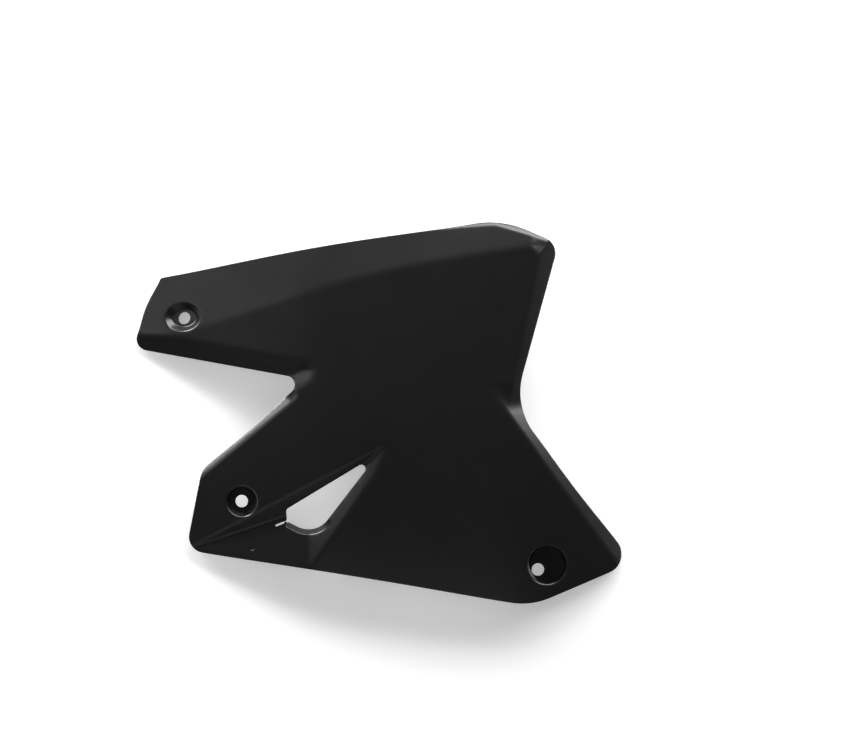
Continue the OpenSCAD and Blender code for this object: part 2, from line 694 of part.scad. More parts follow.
// Rings round the rim, from the face to the inner side
rim_rings = [for (a = rim_angles) [for (p = rim_line(edge_r * (1 - sin(a))))
    [p[0], p[1], face_z(p) - wall * steepness(p) * (1 - cos(a)) / 2]]];
back_pts = [for (p = plan) [p[0], p[1], inner_z(p)]];
rest_z = min(concat([for (p = back_pts) p[2]], [for (r = rim_rings, p = r) p[2]],
    [high_seat[2] - wall, low_seat[2] - wall, front_seat[2] - wall]));

// Wall of the panel: face, rounded rim and inner side as one closed skin
module skin() {
    face_pts = [for (p = plan) [p[0], p[1], face_z(p)]];
    points = concat(face_pts, back_pts, [for (r = rim_rings, p = r) p]);
    strips = [for (k = [0:len(rim_angles)]) [
        k == 0 ? rim_ids : [for (m = [0:rim_n - 1]) 2 * plan_n + (k - 1) * rim_n + m],
        k == len(rim_angles)
            ? [for (id = rim_ids) id + plan_n]
            : [for (m = [0:rim_n - 1]) 2 * plan_n + k * rim_n + m]]];
    polyhedron(points, concat(
        [for (t = cells) [t[2], t[1], t[0]]],
        [for (t = cells) [t[0] + plan_n, t[1] + plan_n, t[2] + plan_n]],
        [for (s = strips, m = [0:rim_n - 1],
            t = cell(s[0][m], s[1][m], s[1][(m + 1) % rim_n], s[0][(m + 1) % rim_n]))
            [t[2], t[1], t[0]]]));
}

// Everything that lies under the middle of the wall, which trims the cups and the flange
module under_skin() {
    top = [for (p = plan) [p[0], p[1], face_z(p) - wall / 2]];
    low = [for (p = plan) [p[0], p[1], rest_z - wall]];
    polyhedron(concat(top, low), concat(
        [for (t = cells) [t[2], t[1], t[0]]],
        [for (t = cells) [t[0] + plan_n, t[1] + plan_n, t[2] + plan_n]],
        [for (m = [0:rim_n - 1], t = cell(rim_ids[m], rim_ids[m] + plan_n,
            rim_ids[(m + 1) % rim_n] + plan_n, rim_ids[(m + 1) % rim_n])) [t[2], t[1], t[0]]]));
}

// A sunk mounting cup: its outer body when grow is the wall, its hollow when grow is 0
module cup(seat_r, mouth_r, depth, grow) {
    draft = (mouth_r - seat_r) / depth;
    rise = depth + 2 * wall + grow;
    translate([0, 0, -grow])
        cylinder(r1 = seat_r + grow, r2 = seat_r + grow + draft * rise, h = rise, $fn = cut_fn);
}

// The upper cup is longer than it is wide, and leans with the face
module leaning() {
    translate(high_seat)
        rotate(cup_high_lean)
        rotate([0, cup_high_tilt, 0])
        rotate(-cup_high_lean)
        children();
}

module cups(grow) {
    leaning() hull() {
        translate([-cup_high_shift, 0, 0]) cup(cup_high_seat_r, cup_high_mouth_r, cup_high_depth, grow);
        translate([cup_high_shift, 0, 0]) cup(cup_high_seat_r, cup_high_mouth_r, cup_high_depth, grow);
    }
    translate(low_seat) cup(cup_low_seat_r, cup_low_mouth_r, cup_low_depth, grow);
    translate(front_seat) cup(cup_front_seat_r, cup_front_mouth_r, cup_front_depth, grow);
}

// Bolt holes through the cups' seats
module bore() {
    cylinder(d = hole_d, h = 4 * wall, center = true, $fn = cut_fn);
}

module bores() {
    leaning() bore();
    translate(low_seat) bore();
    translate(front_seat + [hole_front_dx, hole_front_dy, 0]) bore();
}

// Rounded outline of the vent, with the slit that runs out of its lower rear corner
vent_pts = [
    place(vent_low_x, vent_low_y),
    place(vent_base_x, vent_base_y),
    place(vent_tip_x, vent_tip_y),
    place(vent_rear_x, vent_rear_y)
];
vent_rad = [vent_low_r, vent_base_r, vent_tip_r, vent_rear_r];
vent_n = len(vent_pts);
function vent_at(k) = vent_pts[(k + vent_n) % vent_n];
function vent_arc(k) = corner_arc(vent_at(k - 1), vent_at(k), vent_at(k + 1), vent_rad[k], 0, 1);
module vent_outline() {
    polygon([for (k = [0:vent_n - 1], p = vent_arc(k)) p]);
    translate(vent_pts[0])
        rotate(slit_dir)
        translate([-slit_w, -slit_w / 2])
        square([slit_l + slit_w, slit_w]);
}

module vent() {
    translate([0, 0, rest_z - wall]) linear_extrude(height = 2 * wall - rest_z) vent_outline();
}

// The flange follows the vent's edge round its bottom corner, as thick as the wall.
// Its line is given for a distance into the vent, and the vent trims what stands in it.
vent_rear = unit(vent_pts[0] - vent_pts[1]);
vent_side = unit(vent_pts[2] - vent_pts[1]);
flange_end = vent_pts[1] + vent_side * (vent_rad[1] / 2 + flange_l);
function flange_edge(d) =
    let(c = inset_corner(vent_pts[0], vent_pts[1], vent_pts[2], d))
    concat(
        [vent_pts[0] - left_of(vent_rear) * d],
        corner_arc(c + vent_rear, c, c + vent_side, vent_rad[1] - d, 0, 1),
        [flange_end + left_of(vent_side) * d]
    );
flange_z = face_z(vent_pts[1]) - flange_h;
module flange() {
    translate([0, 0, flange_z])
        linear_extrude(height = -flange_z)
        polygon(concat(flange_edge(wall / 2), backwards(flange_edge(-wall))));
}

// Shallow mark that the mould's gate leaves in the face
module gate_mark() {
    translate([gate[0], gate[1], face_z(gate) - gate_h])
        cylinder(d = gate_d, h = wall, $fn = cut_fn / 2);
}

module shroud() {
    color("#1d1e20")
    translate([-mid_x, -mid_y, -rest_z])
    difference() {
        union() {
            skin();
            intersection() {
                union() {
                    cups(wall);
                    flange();
                }
                under_skin();
            }
        }
        cups(0);
        bores();
        vent();
        gate_mark();
    }
}

shroud();
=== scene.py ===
"""Right-hand tank shroud of an off-road motorbike: one panel, injection-moulded in black polypropylene.

The panel lies face up. All plan sizes are millimetres from a datum near the middle of the panel,
as in the part's source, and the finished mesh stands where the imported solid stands.
"""

import math
from collections import namedtuple

import bmesh
import bpy
import numpy as np
from mathutils import Matrix, Vector
from mathutils.geometry import delaunay_2d_cdt
from mathutils.kdtree import KDTree


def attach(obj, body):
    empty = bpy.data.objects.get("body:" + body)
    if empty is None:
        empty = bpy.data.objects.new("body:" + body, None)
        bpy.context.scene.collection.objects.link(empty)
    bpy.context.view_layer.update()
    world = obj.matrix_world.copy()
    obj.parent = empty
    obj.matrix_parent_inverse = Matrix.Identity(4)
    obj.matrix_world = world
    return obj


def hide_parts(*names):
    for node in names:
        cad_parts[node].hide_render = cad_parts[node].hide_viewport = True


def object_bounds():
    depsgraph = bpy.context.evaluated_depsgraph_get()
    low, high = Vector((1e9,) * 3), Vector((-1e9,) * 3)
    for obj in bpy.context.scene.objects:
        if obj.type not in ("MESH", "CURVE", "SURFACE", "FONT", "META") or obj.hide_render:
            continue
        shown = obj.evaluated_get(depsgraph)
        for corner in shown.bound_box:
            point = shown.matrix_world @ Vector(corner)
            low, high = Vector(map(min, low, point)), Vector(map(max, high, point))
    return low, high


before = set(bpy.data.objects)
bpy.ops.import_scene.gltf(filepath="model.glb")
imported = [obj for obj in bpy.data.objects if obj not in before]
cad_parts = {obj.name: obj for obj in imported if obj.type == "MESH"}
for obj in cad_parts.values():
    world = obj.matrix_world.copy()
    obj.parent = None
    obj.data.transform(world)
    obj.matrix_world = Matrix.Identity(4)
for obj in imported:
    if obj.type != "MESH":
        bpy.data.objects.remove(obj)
cad_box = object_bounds()
bpy.ops.object.select_all(action="DESELECT")

# Outline of the panel
# The moulding's parting line: ten corners with round arcs between slightly bowed edges.
# Two rear arms stand either side of a notch that clears the tank, and the front edge is drawn in at a waist.
WALL = 2.6
CORNERS = [
    # X, Y, radius, and how far the edge that follows bulges outwards
    (-174.2, -125.3, 14.6, -1.5),  # foot of the lower arm
    (138.6, -175.2, 65, 0),  # keel
    (231.7, -136.5, 18, -1.1),  # chin
    (122.6, 5.1, 61, 0),  # waist
    (163.4, 151.6, 15, 0),  # front tip
    (111.3, 173.8, 84, 2.8),  # crest
    (-197.3, 121.6, 4, 2.2),  # top of the upper arm
    (-223.1, 57.9, 10.6, 0),  # end of the upper arm
    (-64.7, 29.5, 8, -1.1),  # root of the notch
    (-159.3, -52.5, 20, 0),  # heel of the lower arm
]
FOOT, KEEL = Vector(CORNERS[0][:2]), Vector(CORNERS[1][:2])
ARM_END, ROOT, HEEL = (Vector(c[:2]) for c in CORNERS[7:10])


def turned(v, angle):
    return Vector((v.x * math.cos(angle) - v.y * math.sin(angle), v.x * math.sin(angle) + v.y * math.cos(angle)))


def corner_sides(before, corner, after):
    """Directions from a corner to both its neighbours, and 1 where the outline turns left there or -1 for right."""
    side = 1 if (corner - before).cross(after - corner) > 0 else -1
    return (before - corner).normalized(), (after - corner).normalized(), side


def inset_corner(before, corner, after, inset):
    """A corner moved in from both its edges."""
    u, v, side = corner_sides(before, corner, after)
    return corner + (u + v).normalized() * side * inset / math.sin(u.angle(v) / 2)


def corner_arc(before, corner, after, radius, step):
    """Points of the arc that rounds a corner, about a step apart."""
    u, v, side = corner_sides(before, corner, after)
    half = u.angle(v) / 2
    middle = corner + (u + v).normalized() * radius / math.sin(half)
    start = corner + u * radius / math.tan(half) - middle
    turn = (math.pi - 2 * half) * side
    steps = max(4, math.ceil(abs(turn) * radius / step))
    return [middle + turned(start, turn * k / steps) for k in range(steps + 1)]


def ring_of(corners, inset, step):
    """Closed line of points round an outline of corners, inset from its edge."""
    pts = [Vector(c[:2]) for c in corners]
    n = len(pts)
    threes = [(i - 1, i, (i + 1) % n) for i in range(n)]
    moved = [inset_corner(*(pts[k] for k in three), inset) for three in threes]
    arcs = []
    for three in threes:
        side = corner_sides(*(pts[k] for k in three))[2]
        arcs.append(corner_arc(*(moved[k] for k in three), corners[three[1]][2] - inset * side, step))
    ring = []
    for arc, following, (_, _, _, bulge) in zip(arcs, arcs[1:] + arcs[:1], corners):
        a, b = arc[-1], following[0]
        out = Vector(((b - a).y, -(b - a).x)).normalized()
        steps = max(2, round((b - a).length / step))
        ring += arc
        for t in (k / steps for k in range(1, steps)):
            ring.append(a.lerp(b, t) + out * bulge * (4 * t * (1 - t)) ** 2)
    return np.array([tuple(p) for p in ring])


# Face of the panel
# The face is a shallow crown that falls away to the rear, the front, the top and the bottom.
# Creases part it into bands along its edges, and a three-sided recess is pressed in round the vent.
def fall(d, radius, slope):
    """Drop of a surface that bends down over a radius until it has a slope."""
    d = np.maximum(d, 0)
    return np.where(d < radius * slope, d * d / (2 * radius), slope * (d - radius * slope / 2))


def soft(d, half_width):
    """Nothing below zero and d above it, rounded where the two meet."""
    inside = np.clip(d, -half_width, half_width)
    return (inside + half_width) ** 2 / (4 * half_width) + np.maximum(d - half_width, 0)


def soft_min(a, b, half_width):
    return a - soft(a - b, half_width)


def soft_max(a, b, half_width):
    return a + soft(b - a, half_width)


def step_up(t):
    t = np.clip(t, 0, 1)
    return t * t * (3 - 2 * t)


def mix(a, b, t):
    return a + (b - a) * t


def beside(p, a, b):
    """Distance of points to the left of the line from a to b."""
    along = (Vector(b) - Vector(a)).normalized()
    return (p - np.array(a[:2])) @ np.array((-along.y, along.x))


def share_along(p, a, b):
    span = np.array(b) - np.array(a)
    return (p - np.array(a)) @ span / (span @ span)


def slope_of(degrees):
    return math.tan(math.radians(degrees))


def heading(degrees):
    return Vector((math.cos(math.radians(degrees)), math.sin(math.radians(degrees))))


CROWN = [
    # Axis and way that the face falls along, where the fall starts, the radius of the bend and the slope that ends it
    (0, -1, 10, 450, 0.2),  # rear
    (0, 1, 100, 300, 1),  # front
    (1, -1, 20, 810, 1),  # bottom
    (1, 1, 60, 3000, 1),  # top
]


def crown(p):
    return -sum(fall(way * (p[:, axis] - start), radius, slope) for axis, way, start, radius, slope in CROWN)


BAND_REAR, BAND_FRONT = (-159.3, 78.7), (137.6, 149.3)
BAND_BOW, BAND_ROUND = 8.6, 4
BAND_ANGLES = (10, 14)


def band_drop(p):
    """The upper band turns down towards the top edge, above a long bowed crease."""
    t = share_along(p, BAND_REAR, BAND_FRONT)
    bow = np.maximum(0, 4 * t * (1 - t))
    lift = BAND_BOW * np.where(t < 0.5, bow * bow, bow)
    slope = np.tan(np.radians(mix(*BAND_ANGLES, np.clip(t, 0, 1))))
    return slope * soft(beside(p, BAND_REAR, BAND_FRONT) - lift, BAND_ROUND)


STRIP_REAR, STRIP_BEND, STRIP_FRONT = (35.3, 162.9), (105.4, 168.3), (150.8, 155.3)
STRIP_ANGLE, STRIP_ROUND = 26, 1.5


def strip_drop(p):
    """A narrow strip rolls over along the top edge, from the crest to the front tip."""
    above = soft_max(beside(p, STRIP_REAR, STRIP_BEND), beside(p, STRIP_BEND, STRIP_FRONT), STRIP_ROUND)
    return slope_of(STRIP_ANGLE) * soft(above, STRIP_ROUND)


BROW_TOP, BROW_LOW = (144.8, 140.3), (120.8, 25.7)
JAW_TOP, JAW_LOW = (123.4, -8.6), (196.9, -109.1)
BROW_ANGLE, JAW_ANGLE, FRONT_ROUND = 34, 30, 2.5
FACET, FACET_ANGLE, FACET_ROUND = (136.2, 149.8), 16, 1.5
MERGE_ROUND = 0.4
WAIST_Y, WAIST_FADE = 5.1, 32


def front_drop(p):
    """Two bands turn down along the front edge and run into each other at the waist.

    A small facet lies behind the tip.
    """
    upper = step_up((p[:, 1] - WAIST_Y) / WAIST_FADE + 0.25)
    jaw = slope_of(JAW_ANGLE) * soft(beside(p, JAW_TOP, JAW_LOW), FRONT_ROUND)
    brow = slope_of(BROW_ANGLE) * soft(-beside(p, BROW_LOW, BROW_TOP), FRONT_ROUND)
    below_band = np.column_stack([p[:, 0], soft_min(p[:, 1], FACET[1], FACET_ROUND)])
    facet = slope_of(FACET_ANGLE) * soft(beside(below_band, FACET, BROW_TOP), FACET_ROUND)
    return mix(jaw, soft_max(brow, facet, MERGE_ROUND), upper)


NOTCH_U, NOTCH_V = (ARM_END - ROOT).normalized(), (HEEL - ROOT).normalized()
NOTCH_REACH = CORNERS[8][2] / math.tan(NOTCH_U.angle(NOTCH_V) / 2)
NOTCH_FADE = 22
# The lower edge's band has an angle and a width near the root and another at the heel
LOW_ANGLES, LOW_WIDTHS, LOW_ROUND = (26, 33), (8, 4.6), 1
LOW_START, LOW_FADE = 11, 14
# The upper edge's band is eased by a flatter lip near the root
HIGH_ANGLE, HIGH_W, HIGH_ROUND = 24, 15, 5
EASE_ANGLE, EASE_W, EASE_ROUND = 17, 9, 1


def notch_drop(p):
    """The notch's lower edge turns down in a narrow band, and its upper edge rolls down over a wider one.

    Both fade out at the root.
    """
    q = p - np.array(ROOT)
    out = (NOTCH_U + NOTCH_V).normalized()
    upper = step_up(0.5 - q @ np.array((-out.y, out.x)) / NOTCH_REACH)
    low_d = np.maximum(0, beside(p, ROOT, HEEL))
    high_d = np.maximum(0, -beside(p, ROOT, ARM_END))
    along_low, along_high = q @ np.array(NOTCH_V), q @ np.array(NOTCH_U)
    to_heel = np.clip(along_low / (HEEL - ROOT).length, 0, 1)
    low = np.tan(np.radians(mix(*LOW_ANGLES, to_heel))) * soft(mix(*LOW_WIDTHS, to_heel) - low_d, LOW_ROUND)
    low = low * step_up((along_low - LOW_START) / LOW_FADE)
    ease = EASE_W * np.clip(1 - 2 * along_high / (ARM_END - ROOT).length, 0, 1)
    high = slope_of(HIGH_ANGLE) * soft(HIGH_W - high_d, HIGH_ROUND)
    high = high - slope_of(EASE_ANGLE) * soft(ease - high_d, EASE_ROUND)
    return mix(low, high * step_up((along_high + NOTCH_FADE / 2) / NOTCH_FADE), upper)


RECESS_HIGH, HIGH_WAY, HIGH_WALL_ANGLE = (4.5, -29.9), 207.9, 27
RECESS_FRONT, FRONT_WAY, NOSE_WAY, FRONT_WALL_ANGLE = (0.7, -52), 235.6, 251, 17
FLOOR_ANGLE = 10
RECESS_ROUND, NOSE_ROUND = 1, 0.5


def under(p, crease, way, degrees):
    """Depth of a plane that falls away to one side of a crease."""
    return (p - np.array(crease)) @ np.array(turned(way, math.pi / 2)) * slope_of(degrees)


def recess_drop(p):
    """The recess has a wall under its upper crease, one behind its front crease, and a floor that rises to the edge."""
    high_wall = under(p, RECESS_HIGH, heading(HIGH_WAY), HIGH_WALL_ANGLE)
    front_wall, nose = (under(p, RECESS_FRONT, -heading(way), FRONT_WALL_ANGLE) for way in (FRONT_WAY, NOSE_WAY))
    floor_up = beside(p, FOOT, KEEL) * slope_of(FLOOR_ANGLE)
    walls = soft_min(high_wall, soft_min(front_wall, nose, NOSE_ROUND), RECESS_ROUND)
    return soft(soft_min(walls, floor_up, RECESS_ROUND), RECESS_ROUND)


VENT = [(-82.5, -98.8, 1.5, 0), (-56.4, -111.6, 22, 0), (0.9, -37.2, 3.8, 0), (-82.5, -87.7, 3.5, 0)]
VENT_LOW, VENT_BASE, VENT_TIP = (Vector(c[:2]) for c in VENT[:3])
BASE_R = VENT[1][2]
FLANGE_W, FLANGE_ANGLE, FLANGE_ROUND = 4.4, 62, 0.7
FLANGE_START, FLANGE_END, FLANGE_FADE = 3, 6, 14
FLANGE_INSIDE = 2


def flange_drop(p):
    """Round the vent's bottom corner the floor turns down steeply in a flange, which fades out along the lower edge."""
    u, v = (VENT_LOW - VENT_BASE).normalized(), (VENT_TIP - VENT_BASE).normalized()
    middle = VENT_BASE + (u + v).normalized() * BASE_R / math.sin(u.angle(v) / 2)
    q = p - np.array(middle)
    side_a, side_b = q @ np.array((-u.y, u.x)), q @ np.array((v.y, -v.x))
    corner = (q @ np.array(u) < 0) & (q @ np.array(v) < 0)
    d = np.where(corner, np.hypot(q[:, 0], q[:, 1]), np.maximum(side_a, side_b)) - BASE_R
    along_a, along_b = (p - np.array(VENT_LOW)) @ np.array(-u), (p - np.array(VENT_BASE)) @ np.array(v)
    share = step_up(along_a / FLANGE_START) * (1 - step_up((along_b - FLANGE_END) / FLANGE_FADE))
    share = share * (d > -FLANGE_INSIDE)  # The far edge of the vent isn't bent
    return slope_of(FLANGE_ANGLE) * soft(FLANGE_W - d, FLANGE_ROUND) * share


GATE, GATE_R, GATE_DEPTH, GATE_BREAK = (-113.6, -123.4), 1.8, 0.4, 0.5


def gate_drop(p):
    """The moulding's gate left a shallow round dimple behind the lower edge."""
    away = np.hypot(p[:, 0] - GATE[0], p[:, 1] - GATE[1])
    return GATE_DEPTH * step_up((GATE_R + GATE_BREAK / 2 - away) / GATE_BREAK)


def face_z(p):
    p = np.atleast_2d(p)
    drops = band_drop, strip_drop, front_drop, notch_drop, recess_drop, flange_drop, gate_drop
    return crown(p) - sum(drop(p) for drop in drops)


# Vent
# A long triangular opening in the floor of the recess, with a narrow slit behind its lower rear corner.
# Both are cut by the mould's core, so their edges are square with a small break.
SLIT_L, SLIT_STRAIGHT, SLIT_W, SLIT_DIR = 11, 10, 1.8, 201
SLIT_STEPS, CAP_STEPS = 8, 6
SLIT_CLEAR = 6


def with_slit(ring):
    """The vent's outline with the slit let into the corner that it starts from."""
    out, side = heading(SLIT_DIR), heading(SLIT_DIR + 90)
    corner = Vector(VENT[0][:2])
    q = ring - np.array(corner)
    keep = ~((np.abs(q @ np.array(side)) < SLIT_W / 2) & (np.hypot(q[:, 0], q[:, 1]) < SLIT_CLEAR))
    first = int(np.argmax(~keep))
    ordered = np.roll(ring, -first, axis=0)[np.roll(keep, -first)]
    # The ring runs anticlockwise. It comes down the rear edge, goes out along the slit's upper side, round its end
    # and back along its lower side
    end = corner + out * SLIT_L
    middle = [corner + out * SLIT_STRAIGHT * k / SLIT_STEPS for k in range(SLIT_STEPS + 1)]
    upper = [spot - side * SLIT_W / 2 for spot in middle]
    cap = [
        end - out * SLIT_W / 2 + turned(-side, k * math.pi / CAP_STEPS) * SLIT_W / 2 for k in range(1, CAP_STEPS)
    ]
    lower = [spot + side * SLIT_W / 2 for spot in reversed(middle)]
    return np.vstack([ordered, [tuple(spot) for spot in upper + cap + lower]])


# Mounting cups
# Three sunk cups carry the panel's bolts. Each has a flat seat with a round hole, a drafted wall and a rounded lip.
# The upper one is longer than it is wide and leans with the face.
Cup = namedtuple("Cup", "x y seat_r mouth_r depth hole_shift drawn_out tilt lean fillet")
CUPS = [
    # X, Y, radius of the seat and of the mouth, depth, the hole's shift, how far the ends are drawn out, the tilt
    # and its direction, and the radius of the seat's fillet
    Cup(-175.4, 85.1, 8, 14, 5, (0, 0), 3, 16, 143, 0.5),
    Cup(-123.2, -80.6, 11.5, 14.2, 9, (0, 0), 0, 0, 0, 0.5),
    Cup(153, -138, 15.5, 17.4, 19, (-8, -4.8), 0, 0, 0, 0.4),
]
HOLE_R = 5.65
CUP_SIDES = 96
CUP_MARGIN = 6
LIP_R = 2.2
cup_angles = np.arange(CUP_SIDES) * 2 * math.pi / CUP_SIDES
around = np.column_stack([np.cos(cup_angles), np.sin(cup_angles)])


def in_cup(cup, plan, height):
    """Points given in a cup's own frame, from the middle of its seat along its axis, in the panel's millimetres."""
    lean, tilt = math.radians(cup.lean), math.radians(cup.tilt)
    turn = Matrix.Rotation(lean, 3, "Z") @ Matrix.Rotation(tilt, 3, "Y") @ Matrix.Rotation(-lean, 3, "Z")
    seat = np.array((cup.x, cup.y, face_z(np.array((cup.x, cup.y)))[0] - cup.depth))
    return seat + np.column_stack([plan, height]) @ np.array(turn).T


def face_over(cup, plan):
    """Height of the face along a cup's axis, over points of its seat's plane."""
    height = np.full(len(plan), float(cup.depth))
    for _ in range(20):
        p = in_cup(cup, plan, height)
        height = height + face_z(p[:, :2]) - p[:, 2]
    return height


def cup_ring(cup, radius):
    """Points round a cup at a radius from its ends, in its own frame."""
    ends = np.column_stack([np.cos(cup_angles) * cup.drawn_out, np.zeros(CUP_SIDES)])
    return around * np.atleast_1d(radius)[:, None] + ends


# Skin of the panel
# One sheet of triangles over the whole face: rings of points follow every edge, and between them
# points lie close where the face bends hard and wide apart where it is nearly flat.
def inside(p, ring):
    """Whether points lie in a closed ring."""
    a, b = ring, np.roll(ring, -1, axis=0)
    hit = np.zeros(len(p), bool)
    for (ax, ay), (bx, by) in zip(a, b):
        if ay == by:
            continue
        rises = (ay > p[:, 1]) != (by > p[:, 1])
        hit ^= rises & (p[:, 0] < (bx - ax) * (p[:, 1] - ay) / (by - ay) + ax)
    return hit


def hex_points(lo, hi, step):
    rows = np.arange(lo[1], hi[1], step * math.sqrt(3) / 2)
    cols = np.arange(lo[0], hi[0], step)
    return np.array([(x + (k % 2) * step / 2, y) for k, y in enumerate(rows) for x in cols])


def bend(p, h):
    """How sharply the face bends at points, per millimetre."""
    z = face_z(p)
    most = np.zeros(len(p))
    for dx, dy in ((1, 0), (0, 1), (0.7, 0.7), (0.7, -0.7)):
        d = np.array((dx, dy)) * h
        most = np.maximum(most, np.abs(face_z(p + d) + face_z(p - d) - 2 * z) / (h * h))
    return most


RIM_INSET, RIM_STEP = 0.15, 1.8
VENT_STEP = 1.2
ROWS_BEHIND_RIM = (1.9, 3.8)
ROWS_ROUND_GATE = (-0.9, -0.25, 0, 0.25, 1)
FINE, COARSE = 1.15, 3.2
SHARP = 0.012
EDGE_GAP = 1.3

rim = ring_of(CORNERS, RIM_INSET, RIM_STEP)
cutouts = [with_slit(ring_of(VENT, 0, VENT_STEP))]
for cup in CUPS:
    ring = cup_ring(cup, cup.mouth_r + CUP_MARGIN)
    cutouts.append(in_cup(cup, ring, face_over(cup, ring))[:, :2])
loops = [rim] + cutouts
rim_rows = [ring_of(CORNERS, d, RIM_STEP) for d in ROWS_BEHIND_RIM]
gate_rings = [np.array(GATE) + around[::4] * (GATE_R + d) for d in ROWS_ROUND_GATE]
fixed = np.vstack(loops + rim_rows + gate_rings)
near_fixed = KDTree(len(fixed))
for i, q in enumerate(fixed):
    near_fixed.insert((q[0], q[1], 0), i)
near_fixed.balance()

lo, hi = rim.min(axis=0), rim.max(axis=0)
grids = []
for step, least, most in ((FINE, SHARP, math.inf), (COARSE, 0, SHARP)):
    pts = hex_points(lo, hi, step)
    sharp = bend(pts, 1.2)
    pts = pts[(sharp >= least) & (sharp < most)]
    pts = pts[inside(pts, rim)]
    far = np.array([near_fixed.find((q[0], q[1], 0))[2] for q in pts])
    grids.append(pts[far > min(EDGE_GAP, step * 0.75)])
for ring in cutouts:
    grids = [g[~inside(g, ring)] for g in grids]

plan = np.vstack([fixed] + grids)
edges, start = [], 0
for loop in loops:
    n = len(loop)
    edges += [(start + k, start + (k + 1) % n) for k in range(n)]
    start += n
verts, _, faces, *_ = delaunay_2d_cdt([Vector(q) for q in plan], edges, [], 0, 1e-6)
verts, faces = np.array([tuple(v) for v in verts]), np.array(faces)
middle = verts[faces].mean(axis=1)
keep = inside(middle, rim)
for ring in cutouts:
    keep &= ~inside(middle, ring)
faces = faces[keep]
turn = np.cross(verts[faces[:, 1]] - verts[faces[:, 0]], verts[faces[:, 2]] - verts[faces[:, 0]])
faces[turn < 0] = faces[turn < 0][:, ::-1]
used = np.unique(faces)
renumber = np.full(len(verts), -1)
renumber[used] = np.arange(len(used))
verts, faces = verts[used], renumber[faces]

MM = 0.001
shift = Vector((-(lo[0] + hi[0]) / 2, -(lo[1] + hi[1]) / 2, cad_box[1].z / MM))


def placed(p, z):
    """Points of the plan at a height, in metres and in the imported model's frame."""
    return [((q[0] + shift.x) * MM, (q[1] + shift.y) * MM, (h + shift.z) * MM) for q, h in zip(p, z)]


skin_mesh = bpy.data.meshes.new("shroud_skin")
skin_mesh.from_pydata(placed(verts, face_z(verts)), [], faces.tolist())
skin = bpy.data.objects.new("shroud_panel", skin_mesh)
bpy.context.collection.objects.link(skin)

# Each cup is drawn down from a ring on the face: over the lip, down the wall, round the fillet and in to the hole
FACE_STEP = 0.5
flat = np.ones(CUP_SIDES)
for cup in CUPS:
    seat_r, fillet = cup.seat_r, cup.fillet
    draft = (cup.mouth_r - seat_r) / cup.depth
    wall_dir = Vector((draft, 1)).normalized()
    # Where the wall would cut the face without a lip, found by going closer in steps
    cut = flat * cup.mouth_r
    for _ in range(30):
        cut = mix(cut, seat_r + face_over(cup, cup_ring(cup, cut)) * draft, 0.6)
    # The lip is an arc between the face, which slopes differently all round, and the wall
    corner_z = face_over(cup, cup_ring(cup, cut))
    face_tilt = np.arctan((face_over(cup, cup_ring(cup, cut + FACE_STEP)) - corner_z) / FACE_STEP)
    half_turn = (math.atan2(1, draft) - face_tilt) / 2
    reach = LIP_R * np.tan(half_turn)
    lip_r, lip_z = cut + reach * np.cos(face_tilt), corner_z + reach * np.sin(face_tilt)
    rings = []
    for t in (0, 0.5):
        r = mix(flat * (cup.mouth_r + CUP_MARGIN), lip_r, t)
        rings.append((r, face_over(cup, cup_ring(cup, r))))
    for t in (0, 0.2, 0.4, 0.6, 0.8, 1):
        tilt = face_tilt + 2 * half_turn * t
        rings.append(
            (lip_r - LIP_R * (np.sin(tilt) - np.sin(face_tilt)), lip_z - LIP_R * (np.cos(face_tilt) - np.cos(tilt)))
        )
    low_r, low_z = seat_r + wall_dir.x * fillet, wall_dir.y * fillet
    top_r, top_z = rings[-1]
    for t in (0.33, 0.67):
        rings.append((mix(top_r, low_r, t), mix(top_z, low_z, t)))
    for t in (0, 0.25, 0.5, 0.75, 1):
        a, b, c = (1 - t) ** 2, 2 * t * (1 - t), t * t
        rings.append((flat * (a * low_r + b * seat_r + c * (seat_r - fillet)), flat * a * low_z))
    points = [in_cup(cup, cup_ring(cup, r), z) for r, z in rings]
    hole = np.array(cup.hole_shift) + around * HOLE_R
    for t in (0.5, 1):
        points.append(in_cup(cup, mix(cup_ring(cup, seat_r - fillet), hole, t), flat * 0))
    n = CUP_SIDES
    quads = [
        (k * n + m, k * n + (m + 1) % n, (k + 1) * n + (m + 1) % n, (k + 1) * n + m)
        for k in range(len(points) - 1)
        for m in range(n)
    ]
    points = np.vstack(points)
    mesh = bpy.data.meshes.new("cup")
    mesh.from_pydata(placed(points[:, :2], points[:, 2]), [], quads)
    piece = bpy.data.objects.new("cup", mesh)
    bpy.context.collection.objects.link(piece)
    piece.select_set(True)

WELD_MM = 0.02
skin.select_set(True)
bpy.context.view_layer.objects.active = skin
bpy.ops.object.join()
bpy.ops.object.mode_set(mode="EDIT")
bpy.ops.mesh.select_all(action="SELECT")
bpy.ops.mesh.remove_doubles(threshold=WELD_MM * MM)
bpy.ops.object.mode_set(mode="OBJECT")
skin.data.name = "shroud_panel"

wall = skin.modifiers.new("wall", "SOLIDIFY")
wall.thickness = WALL * MM
wall.offset = -1
bpy.ops.object.modifier_apply(modifier="wall")

